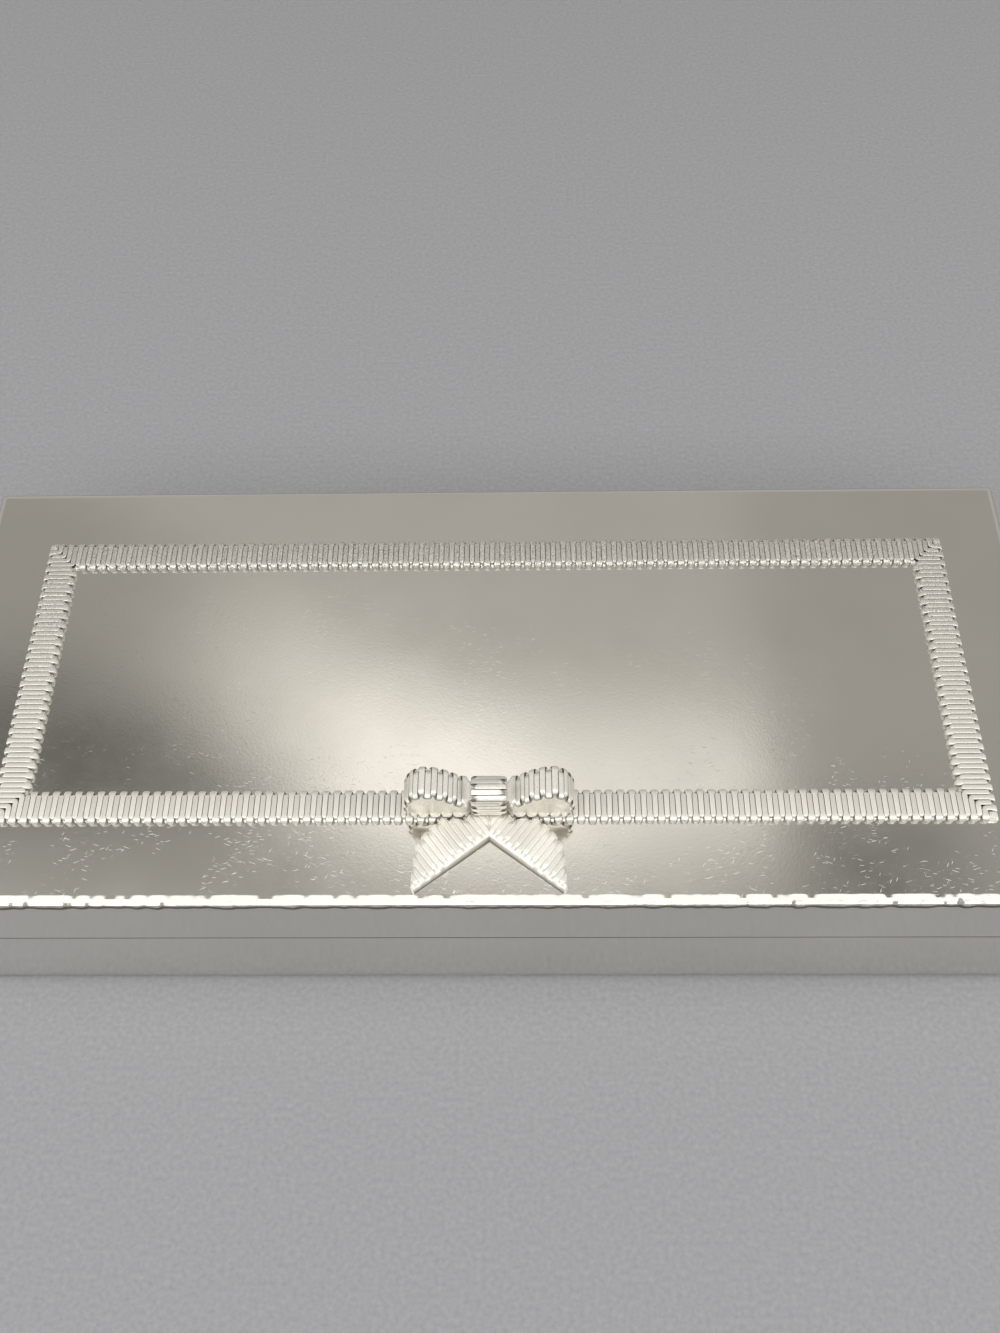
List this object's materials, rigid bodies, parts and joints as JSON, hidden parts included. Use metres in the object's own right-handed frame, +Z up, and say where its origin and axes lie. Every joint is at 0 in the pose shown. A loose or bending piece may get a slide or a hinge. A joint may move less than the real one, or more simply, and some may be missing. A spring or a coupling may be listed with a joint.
{
  "type": "jewelry box",
  "caption": "Rectangular silver-plated jewelry box with a hinged lid, a ribbed ribbon border, a raised bow and a velvet-lined inside.",
  "frame": {"origin": "on the table, under the middle of the box's outline", "axes": "+X along the box's length to the right as the bow faces the viewer, +Y to the hinge at the back, +Z up"},
  "size_m": [0.26, 0.1148, 0.0629],
  "materials": {
    "silver_plate": "polished silver plate on sheet metal, lightly scratched",
    "cast_silver_plate": "silver plate on a cast ornament, fine grain",
    "hinge_metal": "plated hinge strip",
    "velvet": "short-pile velvet over board or foam",
    "felt": "pressed felt"
  },
  "bodies": {
    "base": {"base_shell": "silver_plate", "base_felt": "felt", "base_front_lining": "velvet", "base_back_lining": "velvet", "base_left_lining": "velvet", "base_right_lining": "velvet", "floor_pad": "velvet", "ring_divider": "velvet", "long_divider": "velvet", "cross_divider": "velvet", "ring_roll_1": "velvet", "ring_roll_2": "velvet", "ring_roll_3": "velvet", "ring_roll_4": "velvet", "ring_roll_5": "velvet", "ring_roll_6": "velvet", "hinge_base_leaf": "hinge_metal", "hinge_pin": "hinge_metal"},
    "lid": {"lid_shell": "silver_plate", "lid_front_lining": "velvet", "lid_back_lining": "velvet", "lid_left_lining": "velvet", "lid_right_lining": "velvet", "lid_pad": "velvet", "hinge_lid_leaf": "hinge_metal", "ribbon_border": "cast_silver_plate", "bow_left_loop": "cast_silver_plate", "bow_right_loop": "cast_silver_plate", "bow_knot": "cast_silver_plate", "bow_left_tail": "cast_silver_plate", "bow_right_tail": "cast_silver_plate"}
  },
  "joints": [
    {"name": "lid_hinge", "type": "hinge", "parent": "base", "child": "lid", "pos_m": [0, 0.0556, 0.03015], "axis": [-1, 0, 0], "range_deg": [0, 95]}
  ]
}
